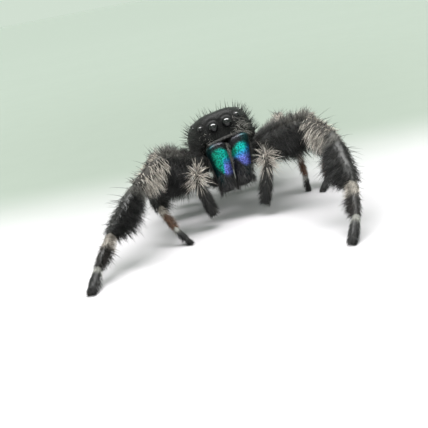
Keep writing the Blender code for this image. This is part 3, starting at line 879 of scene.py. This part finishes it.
def skin_tone(points):
    """The colour of the skin at each point, from the limb or body that it lies on."""
    nearest = np.full(len(points), np.inf)
    tone = abdomen_tone(points)
    x, y, _ = to_abdomen(points).T
    nearest[(y > 0) & (y < ABDOMEN_LENGTH) & (np.abs(x) < ABDOMEN_REACH)] = LIMB_REACH
    for segment in ALL_SEGMENTS:
        share, angle, off = segment.locate(points)
        mine = off < nearest
        nearest[mine] = off[mine]
        depth = 0.08 if segment.kind in ("patella", "palp_knee", "palp_arm") else 0.5
        tone[mine] = limb_tone(segment, share[mine], angle[mine]) * depth + BLACK * 0.4
    return tone


# ---- Coat ----


def jitter(amount, count):
    """A random vector for each hair."""
    return RNG.normal(0, amount, (count, 3))


def varied(tones, amount=0.3):
    """Colours with each hair a little lighter or darker."""
    return tones * np.exp(RNG.normal(0, amount, len(tones)))[:, None]


def mix_in(tones, chance, colour):
    """Gives hairs another colour by chance."""
    chosen = RNG.random(len(tones)) < chance
    tones[chosen] = varied(rows(colour, int(chosen.sum())))


class Coat:
    """Gathers hairs and turns them into one mesh of tapered three-sided strands."""

    def __init__(self, name):
        self.name = name
        self.parts = []
        self.uvs = []
        self.tints = []

    def add(self, roots, ways, bends, lengths, widths, tones, places, joints=3):
        """One row for each hair: its root, first direction, bend (added by the square of the share along
        it), length, width, colour and place on the unwrapped skin. Joints is how many rings it has."""
        ways = unit(ways)
        side = unit(np.cross(ways, bends + np.array((0.013, 0.021, 0.017))))
        other = np.cross(ways, side)
        lengths, widths = np.asarray(lengths)[:, None], np.broadcast_to(widths, len(roots))[:, None]
        patch_width, patch_height, patch_tip = STRAND_PATCH
        points, uvs = [], []
        for t in np.linspace(0, 1, joints + 1)[:-1] ** 0.9:
            centre = roots + lengths * (ways * t + bends * t * t)
            radius = widths / 2 * (1 - t) ** 0.75
            for a in (0.0, math.tau / 3, math.tau * 2 / 3):
                points.append(centre + (side * math.cos(a) + other * math.sin(a)) * radius)
                uvs.append(places + np.array((patch_width * math.cos(a), patch_height * (2 * t - 1))))
        points.append(roots + lengths * (ways + bends))
        uvs.append(places + np.array((0.0, patch_tip)))
        points = np.stack(points, axis=1)
        points[:, :, 2] = np.maximum(points[:, :, 2], HAIR_CLEARANCE)
        size = joints * 3 + 1
        faces = []
        for ring in range(joints):
            for j in range(3):
                a, b = ring * 3 + j, ring * 3 + (j + 1) % 3
                if ring < joints - 1:
                    faces += [(a, b, b + 3), (a, b + 3, a + 3)]
                else:
                    faces.append((a, b, size - 1))
        faces = np.array(faces)[None] + (np.arange(len(roots)) * size)[:, None, None]
        self.parts.append((points.reshape(-1, 3), faces.reshape(-1, 3)))
        self.uvs.append(np.stack(uvs, axis=1).reshape(-1, 2))
        # Every hair is lighter towards its tip, and pale hairs the most so.
        along = np.append(np.repeat(np.linspace(0, 1, joints + 1)[:-1], 3), 1.0)
        root = 0.8 - 0.5 * smooth(tones.mean(axis=1), 0.08, 0.35)[:, None]
        tint = tones[:, None, :] * (root + (1.15 - root) * along)[:, :, None]
        self.tints.append(tint.reshape(-1, 3))

    def build(self):
        points, faces = joined(self.parts)
        made = new_mesh(self.name, points, faces)
        layer = made.data.uv_layers.new(name="OFBake")
        layer.data.foreach_set("uv", np.concatenate(self.uvs)[faces.ravel()].astype(np.float32).ravel())
        dress(made, np.concatenate(self.tints), HAIR)


def coat_limb(coat, segments):
    """Covers a limb with hair, in a way that depends on the segment and on the place round it."""
    for segment in segments:
        size = 0.35 + 0.65 * segment.thickness
        coat_segment(coat, segment, size)
        for table, coat_more in ((FRINGE, coat_fringe), (CREST, coat_crest), (BRISTLES, coat_bristles)):
            if segment.kind in table:
                coat_more(coat, segment, size)
        if segment.kind == "tarsus":
            coat_claw_tuft(coat, segment)


def coat_segment(coat, segment, size):
    """The dense coat all round a segment. It fans off the back of the knees, where it is long and pale."""
    density, on_back, on_side, below, width, back_lift, under_lift = COAT[segment.kind]
    n = int(density * (math.tau * segment.half_width * segment.length) / size)
    share = RNG.uniform(0.0, 1.0, n)
    angle = RNG.uniform(-math.pi, math.pi, n)
    if segment.kind == "patella":
        share = share * 1.07 - 0.07
    elif segment.kind == "tibia":
        bare = (np.abs(np.abs(angle) - 0.95) < 0.26) & (share < 0.7) & (RNG.random(n) < 0.85)
        share, angle = share[~bare], angle[~bare]
        n = len(share)
    roots, outward, places = segment.roots(share, angle)
    upper, lower = smooth(np.cos(angle), 0.0, 0.9), smooth(-np.cos(angle), 0.0, 0.85)
    length = (on_side + (on_back - on_side) * upper + (below - on_side) * lower) * size
    length = length * RNG.uniform(0.65, 1.15, n) * (0.75 + 0.25 * np.sin(np.pi * share))
    lift = back_lift + (under_lift - back_lift) * smooth(-np.cos(angle), -0.3, 0.85)
    comb = -segment.back * (1 - upper)[:, None] * 0.5
    lie = segment.along + comb
    if segment.kind == "patella":
        c, s = np.cos(angle)[:, None], np.sin(angle)[:, None]
        off_the_back = (segment.side * c - segment.back * s) * np.sign(s)
        lie = segment.along * 0.35 + np.where(c > 0, off_the_back, -segment.back) * 1.1
    elif segment.kind == "palp_knee":
        lie = segment.along * 0.35
    ways = unit(lie) + outward * lift[:, None] + jitter(0.17, n)
    bends = unit(segment.along + comb * 0.6) * 0.22 + jitter(0.05, n) - outward * 0.10
    tones = varied(limb_tone(segment, share, angle))
    mix_in(tones, 0.10, GREY * 0.7)
    coat.add(roots, ways, bends, length, width, tones, places)


def coat_fringe(coat, segment, size):
    """The fringe that hangs from the underside, longest beyond mid-length."""
    number, reach = FRINGE[segment.kind]
    n = int(number * size * segment.scale)
    share = RNG.beta(1.5, 1.2, n)
    angle = math.pi + RNG.normal(0, 0.62, n)
    roots, outward, places = segment.roots(share, angle)
    even = 0.75 if segment.kind == "femur" else 0.45
    stretch = RNG.uniform(0.40, 1.20, n)
    spike = stretch > 1.165
    stretch[spike] += 0.22
    length = reach * size * stretch * (even + (1.1 - even) * np.sin(np.pi * share**1.25))
    ways = -segment.back * 0.8 + outward * 0.6 + segment.along * 0.32 + jitter(0.20, n)
    bends = segment.along * 0.18 + jitter(0.06, n)
    tones = varied(limb_tone(segment, share, angle), 0.35)
    width = np.where(spike, SPIKE_WIDTH, FRINGE_WIDTH)
    coat.add(roots, ways, bends, length, width, tones, places)


def coat_crest(coat, segment, size):
    """Hairs that stand up along the back towards the knee, about a third of them sooty."""
    number, reach, part = CREST[segment.kind]
    n = int(number * size * segment.scale)
    share = RNG.uniform(*part, n)
    angle = RNG.normal(0, 0.55, n)
    roots, outward, places = segment.roots(share, angle)
    length = reach * size * RNG.uniform(0.5, 1.1, n) * (0.55 + 0.45 * smooth(share, 0.3, 0.8))
    ways = outward + segment.along * RNG.uniform(0.1, 0.6, n)[:, None] + jitter(0.16, n)
    bends = segment.along * RNG.uniform(0.05, 0.3, n)[:, None]
    tones = varied(limb_tone(segment, share, angle) * 1.15, 0.4)
    mix_in(tones, 0.35, SOOT)
    coat.add(roots, ways, bends, length, CREST_WIDTH, tones, places, 4)


def coat_bristles(coat, segment, size):
    """Sparse long bristles that stand up from the back and sides of a limb."""
    n, reach = BRISTLES[segment.kind]
    share = RNG.uniform(0.05, 0.96, n)
    angle = RNG.normal(0, 0.95, n)
    roots, outward, places = segment.roots(share, angle)
    length = RNG.uniform(0.55, 1.0, n) * reach * size * (1.0 - 0.45 * smooth(share, 0.1, 0.7))
    ways = outward + segment.along * RNG.uniform(0.2, 0.7, n)[:, None] + jitter(0.12, n)
    bends = segment.along * RNG.uniform(0.05, 0.25, n)[:, None]
    tones = varied(rows(SOOT, n))
    coat.add(roots, ways, bends, length, BRISTLE_WIDTH, tones, places, 4)


def coat_palp_star(coat, segments):
    """Long pale hairs that spread every way from the palp's knee."""
    arm, knee = segments[1], segments[2]
    count, width = OTHER_HAIRS["palp_star"]
    ways = unit(jitter(1, count))
    ways = ways[ways @ arm.along > -0.35]
    n = len(ways)
    share = RNG.uniform(-0.2, 0.9, n)
    roots = knee.start + knee.along * (knee.length * share)[:, None] + ways * 0.16
    bends = knee.along * 0.22 + arm.along * 0.10 + jitter(0.07, n)
    length = RNG.uniform(0.65, 1.15, n)
    tones = varied(rows(PALE, n), 0.35)
    places = knee.places(np.clip(share, 0, 1), np.arctan2(ways @ knee.side, ways @ knee.back))
    coat.add(roots, ways, bends, length, width, tones, places, 4)


def coat_claw_tuft(coat, segment):
    """The dense brush round the claws, ending on the floor."""
    n, width = OTHER_HAIRS["front_tuft" if segment.limb.endswith("_1") else "tuft"]
    share = RNG.uniform(0.80, 1.0, n)
    angle = RNG.uniform(-math.pi, math.pi, n)
    roots, outward, places = segment.roots(share, angle)
    ways = segment.along + outward * 0.45 + jitter(0.12, n)
    bends = UP * -0.15 + jitter(0.04, n)
    length = RNG.uniform(0.18, 0.34, n)
    tones = varied(rows(BLACK * 1.4, n))
    coat.add(roots, ways, bends, length, width, tones, places)


def shell_roots(shell, count, wanted):
    """Random points on the shell where hair is wanted, with outward directions and places in the head."""
    mesh = shell.data
    mesh.calc_loop_triangles()
    tris = np.zeros(len(mesh.loop_triangles) * 3, np.int32)
    mesh.loop_triangles.foreach_get("vertices", tris)
    tris = tris.reshape(-1, 3)
    points, normals = points_of(shell), vertex_rows(shell, "normal")
    a, b, c = points[tris[:, 0]], points[tris[:, 1]], points[tris[:, 2]]
    area = np.linalg.norm(np.cross(b - a, c - a), axis=1)
    pick = RNG.choice(len(tris), count, p=area / area.sum())
    u, v = RNG.random(count), RNG.random(count)
    over = u + v > 1
    u[over], v[over] = 1 - u[over], 1 - v[over]
    w = stacked(1 - u - v, u, v)[:, :, None]
    corner = tris[pick]
    points, outward = (points[corner] * w).sum(1), unit((normals[corner] * w).sum(1))
    local = to_head(points)
    keep = wanted(local)
    return points[keep], outward[keep], local[keep]


def shell_places(local):
    """Places on the carapace's unwrap: round its girth and along its length."""
    angle = np.arctan2(local[:, 0], local[:, 2] - 0.9)
    u = 0.5 + 0.47 * angle / math.pi
    v = 0.04 + 0.92 * np.clip((local[:, 1] - FACE_Y) / CARAPACE_LENGTH, 0, 1)
    return stacked(u, v)


def clear_of_eyes(local, margin):
    """Which places lie outside every eye."""
    clear = np.ones(len(local), bool)
    for _, middle, radius in eye_places():
        clear &= np.linalg.norm(local - middle, axis=1) > radius * margin
    return clear


def coat_shell_short(coat, shell):
    """Short flat hair all over the carapace."""

    def wanted(local):
        return clear_of_eyes(local, 1.22) & (local[:, 2] > 0.0)

    count, width = OTHER_HAIRS["shell"]
    points, outward, local = shell_roots(shell, count, wanted)
    n = len(points)
    length = RNG.uniform(0.10, 0.22, n) * (0.7 + 0.7 * smooth(local[:, 1], -2.0, 1.0))
    face = smooth(-local[:, 1], 2.2, 2.6)[:, None]
    ways = HEAD_BACK * (1 - face) + HEAD_UP * face * 0.6 + outward * 0.40 + jitter(0.2, n)
    tones = varied(shell_tone(points) * 1.1, 0.35)
    mix_in(tones, 0.10, GREY * 0.6)
    bends = -outward * 0.12
    coat.add(points - outward * ROOT_DEPTH, ways, bends, length, width, tones, shell_places(local), 2)


def coat_shell_bristles(coat, shell):
    """Long upright bristles, sparser on top than on the sides."""

    def wanted(local):
        out = np.abs(local[:, 0])
        keep = clear_of_eyes(local, 1.5) & (local[:, 2] > 0.5) & (local[:, 1] < 2.4)
        keep &= (local[:, 1] > -2.3) | (out > 1.3)
        return keep & (RNG.random(len(local)) < 0.20 + 0.80 * smooth(out, 1.4, 2.0))

    count, width = OTHER_HAIRS["shell_bristles"]
    points, outward, local = shell_roots(shell, count, wanted)
    n = len(points)
    length = RNG.uniform(0.35, 0.80, n)
    ways = outward + HEAD_UP * 0.45 - HEAD_BACK * 0.15 + jitter(0.15, n)
    bends = -HEAD_BACK * RNG.uniform(0.0, 0.25, n)[:, None]
    tones = varied(rows(SOOT, n))
    coat.add(points - outward * ROOT_DEPTH, ways, bends, length, width, tones, shell_places(local), 4)


def coat_cheek(coat, shell, sign, fullness):
    """Tangled grey hair on one cheek and along the edge over the jaw."""

    def wanted(local):
        x, y, z = local[:, 0] * sign, local[:, 1], local[:, 2]
        patch = bell((x, 1.25, 0.42), (z - 1.30 + 0.3 * (x - 1.2), 0, 0.42))
        edge = carapace_section((y - FACE_Y) / CARAPACE_LENGTH)[2]
        rim = bell((z - edge, 0.12, 0.09)) * smooth(x, 0.3, 0.6)
        chance = (patch * 0.8 + rim) * (y < -1.5) * fullness
        return clear_of_eyes(local, 1.15) & (RNG.random(len(local)) < chance) & (x > 0)

    count, width = OTHER_HAIRS["cheek"]
    points, outward, local = shell_roots(shell, count, wanted)
    n = len(points)
    ways = -HEAD_UP * 0.5 + sign * HEAD_LEFT * 0.5 + outward * 0.5 + jitter(0.45, n)
    bends = jitter(0.30, n) - HEAD_UP * 0.1
    tones = varied(rows(GREY * 2.4, n), 0.45)
    length = RNG.uniform(0.16, 0.34, n)
    coat.add(points - outward * 0.01, ways, bends, length, width, tones, shell_places(local))


def coat_shell(shell):
    """All the hair of the carapace, with a short fringe over the jaws."""
    coat = Coat("coat_carapace")
    coat_shell_short(coat, shell)
    coat_shell_bristles(coat, shell)
    coat_cheek(coat, shell, 1, 1.0)
    coat_cheek(coat, shell, -1, 0.15)
    n, width = OTHER_HAIRS["clypeus"]
    x = RNG.uniform(-1.25, 1.25, n)
    local = stacked(x, 0 * x + FACE_Y, 0.98 - 0.05 * x * x)
    ways = -HEAD_BACK * 0.75 - HEAD_UP * 0.75 + jitter(0.18, n)
    tones = varied(rows(SOOT * 2.0, n), 0.6)
    length = RNG.uniform(0.14, 0.30, n)
    coat.add(from_head(local), ways, rows(-HEAD_UP * 0.25, n), length, width, tones, shell_places(local))
    coat.build()


def coat_abdomen():
    """Short hair lying backwards, in the abdomen's markings, with sparse longer bristles."""
    for name, sign in SIDES:
        coat = Coat(f"coat_abdomen_{name}")
        for n, low, high, stand, width, brightness, joints in ABDOMEN_HAIRS:
            share = RNG.beta(1.15, 1.15, n) * 0.965 + 0.015
            angle = RNG.uniform(0, math.pi, n) * sign
            points, outward = abdomen_surface(share, angle)
            ways = ABDOMEN_AXES[1] + outward * stand + jitter(0.24, n)
            tones = varied(abdomen_tone(points) * brightness)
            length = RNG.uniform(low, high, n)
            places = stacked(0.03 + 0.94 * share, 0.04 + 0.92 * np.abs(angle) / math.pi)
            roots = points - outward * 0.03
            coat.add(roots, ways, -outward * 0.10, length, width, tones, places, joints)
        coat.build()


def coat_jaws():
    """Grey bristles between the jaws, and dark ones on their outer side, front and round the tips."""
    coat = Coat("coat_jaws")
    for _, sign in SIDES:
        for n, along, round_it, stretch, colour in JAW_BRISTLES:
            q = RNG.uniform(*along, n)
            centre, half_width, full = jaw_section(sign, q)
            turn = RNG.uniform(*round_it, n)
            c, s = np.cos(turn) * sign, np.sin(turn)
            depth = np.where(s > 0, JAW_FRONT, JAW_BACK) * full
            local = centre + stacked(half_width * c, -depth * s, 0 * q)
            outward = unit(stacked(c / JAW_HALF_WIDTH, -s / JAW_FRONT, 0 * q))
            ways = (outward * 0.55 - UP * 0.9 + jitter(0.2, n)) @ HEAD_TURN
            length = RNG.uniform(0.25, 0.55, n) * stretch
            bends = (UP * -0.15 + jitter(0.05, n)) @ HEAD_TURN
            tones = varied(rows(colour, n), 0.5)
            places = stacked(0.03 + 0.94 * q, 0.25 + 0.25 * sign + 0.22 * (turn / math.tau % 1.0))
            coat.add(from_head(local), ways, bends, length, JAW_BRISTLE_WIDTH, tones, places)
    coat.build()


def coat_underside():
    """Short hair on the sternum."""
    coat = Coat("coat_sternum")
    points = to_head(node_points("sternum"))
    low, high = points.min(0), points.max(0)
    n, width = OTHER_HAIRS["sternum"]
    x = RNG.uniform(low[0], high[0], n) * 0.9
    y = RNG.uniform(low[1], high[1], n) * 0.92
    along = (y - low[1]) / (high[1] - low[1])
    edge = (x / high[0]) ** 4 + (2 * along - 1) ** 4
    local = stacked(x, y, low[2] + 0.06 + 0.2 * edge)
    ways = (np.array((0, 0.8, -0.6)) + jitter(0.2, n)) @ HEAD_TURN
    tones = varied(rows(SOOT * 1.5, n))
    length = RNG.uniform(0.15, 0.32, n)
    places = stacked(0.5 + 0.4 * x / high[0], 0.05 + 0.9 * along)
    coat.add(from_head(local), ways, np.zeros((n, 3)), length, width, tones, places, 2)
    coat.build()


def claw(foot, sign, rings=7, sides=8):
    """One small hooked claw, as points and triangles."""
    c, s = np.cos(circle(sides))[:, None], np.sin(circle(sides))[:, None]
    root = foot.end + foot.along * 0.04 + foot.side * sign * 0.05 * foot.scale + foot.back * 0.06
    points = []
    for t in np.linspace(0, 1, rings):
        hook = foot.back * (0.05 * t - 0.10 * t * t)
        centre = root + foot.along * CLAW_LENGTH * t + hook + foot.side * sign * 0.04 * t
        points.append(centre + (CLAW_RADIUS * (1 - t) + CLAW_TIP) * (foot.side * c + foot.back * s))
    points, faces = capped(np.concatenate(points), rings, sides)
    points[:, 2] = np.maximum(points[:, 2], CLAW_CLEARANCE)
    return points, faces


def build_claws():
    """A pair of small hooked claws at the end of each leg."""
    points, faces = joined([claw(segments[-1], sign) for segments in LEGS.values() for sign in (-1, 1)])
    dress(new_mesh("claws", points, faces), CLAW_BROWN, claw_material())


# ---- Stage ----

FLOOR_SIZE = 3000.0
FLOOR_FAR = 220.0  # the floor's colour changes up to this distance from the model
FLOOR_STOPS = (0.0, 0.05, 0.10, 0.15, 0.20, 0.26, 0.33, 0.42, 0.53, 0.70, 0.98)  # shares of that distance
FLOOR_FRONT = (1.36, 1.34, 1.38)  # the brightness that it is to show in front of the model, and behind it
FLOOR_BACK = (0.62, 0.73, 0.62)
FLOOR_TURN = (-4.0, 17.0)  # where along Y the one turns into the other
WORLD_COLOUR = (0.64, 0.74, 0.64)
LAMP_SHARE = 1.67  # of the overhead lamp's light on the floor's middle, against the world's
LAMP_HEIGHT = 65.0
LAMP_AIM = (0, -4, 3)


def build_stage():
    """A pale floor."""
    corners = [(x * FLOOR_SIZE / 2, y * FLOOR_SIZE / 2, 0) for x, y in ((-1, -1), (1, -1), (1, 1), (-1, 1))]
    floor = new_mesh("floor", corners, [(0, 1, 2, 3)])
    floor.data.materials.append(floor_material())


def add_light(name, place, width, depth, radiance, colour=(1.0, 1.0, 1.0)):
    """A soft rectangular light on the model, bright as the radiance says whatever its size."""
    light = bpy.data.lights.new(name, "AREA")
    light.shape = "RECTANGLE"
    light.size, light.size_y = width * MM, depth * MM
    light.energy = radiance * math.pi * width * depth * MM**2
    light.color = colour
    made = linked(name, light)
    made.location = Vector(place) * MM
    made.rotation_euler = (Vector(LAMP_AIM) - Vector(place)).to_track_quat("-Z", "Y").to_euler()
    return made


def build_lights():
    """An even pale world, a soft lamp overhead and one in front, and a strip that only shows in gloss."""
    world = bpy.data.worlds.new("studio")
    bpy.context.scene.world = world
    world.use_nodes = True
    world.node_tree.nodes["Background"].inputs["Color"].default_value = (*WORLD_COLOUR, 1)
    world.node_tree.nodes["Background"].inputs["Strength"].default_value = 1.0
    bpy.context.scene.view_settings.view_transform = "Standard"
    add_light("overhead", (0, -5, LAMP_HEIGHT), 88, 28, 9.0, (1.0, 1.0, 0.98))
    add_light("front", (-30, -120, 60), 90, 50, 1.5)
    gloss = add_light("gloss", (0, -8, LAMP_HEIGHT + 1), 88, 20, 24.0)
    gloss.visible_diffuse = False


# Camera: how far it stands from the eyes, how far down it looks, and how it leans.
CAMERA_DISTANCE = 45.0
CAMERA_DOWN = math.radians(19)
CAMERA_LEAN = math.radians(11)
SENSOR_WIDTH = 36.0
VIEW_WIDTH = 28.72  # of the frame at the eyes
EYES_FROM_CENTRE = (1.54, 5.80)  # the eyes' place right of and above the middle of the view


def build_camera():
    """The camera, placed by the two front middle eyes."""
    low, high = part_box("eye_front_middle_left")
    other_low, other_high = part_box("eye_front_middle_right")
    eyes = (low + high + other_low + other_high) / 4
    right = Vector((1, 0, 0))
    back = Vector((0, -math.cos(CAMERA_DOWN), math.sin(CAMERA_DOWN)))
    up = back.cross(right)
    target = eyes - right * EYES_FROM_CENTRE[0] * MM - up * EYES_FROM_CENTRE[1] * MM
    camera = bpy.data.cameras.new("camera")
    camera.sensor_width = SENSOR_WIDTH
    camera.lens = SENSOR_WIDTH * CAMERA_DISTANCE / VIEW_WIDTH
    camera.clip_start = 0.001
    camera.clip_end = 10
    x = right * math.cos(CAMERA_LEAN) - up * math.sin(CAMERA_LEAN)
    y = right * math.sin(CAMERA_LEAN) + up * math.cos(CAMERA_LEAN)
    turn = Matrix((x, y, back)).transposed().to_4x4()
    turn.translation = target + back * CAMERA_DISTANCE * MM
    made = linked("camera", camera)
    made.matrix_world = turn
    bpy.context.scene.camera = made


build_stage()
build_lights()
build_camera()
SHELL = build_shell()
build_eyes()
build_jaws()
build_skin()
build_claws()
HAIR = hair_material()
for (leg_side, leg_number), leg in LEGS.items():
    leg_coat = Coat(f"coat_leg_{leg_side}_{leg_number}")
    coat_limb(leg_coat, leg)
    leg_coat.build()
for palp_side, palp in PALPS.items():
    palp_coat = Coat(f"coat_palp_{palp_side}")
    coat_limb(palp_coat, palp)
    coat_palp_star(palp_coat, palp)
    palp_coat.build()
coat_shell(SHELL)
coat_abdomen()
coat_jaws()
coat_underside()
